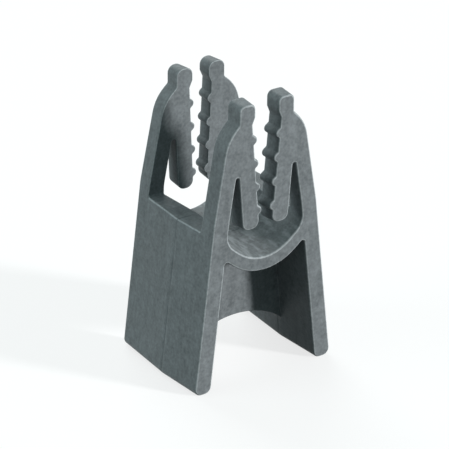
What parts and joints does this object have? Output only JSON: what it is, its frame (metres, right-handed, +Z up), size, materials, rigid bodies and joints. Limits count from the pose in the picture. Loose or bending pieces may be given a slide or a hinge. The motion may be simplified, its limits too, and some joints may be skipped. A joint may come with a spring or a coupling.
{
  "type": "clip-on rebar spacer",
  "caption": "One-piece plastic chair that clips onto a reinforcing bar: splayed side plates, a round trough for the bar and toothed jaws above it.",
  "frame": {"origin": "on the ground, midway between the two feet and midway along the depth", "axes": "+Z up from the feet to the knobs, Y along the bar with the wider jaws at -Y, X across the bar"},
  "size_m": [0.032, 0.025, 0.0567],
  "materials": {
    "grey_plastic": "satin moulded, cool grey"
  },
  "bodies": {
    "root": {"spacer_body": "grey_plastic"}
  },
  "joints": []
}
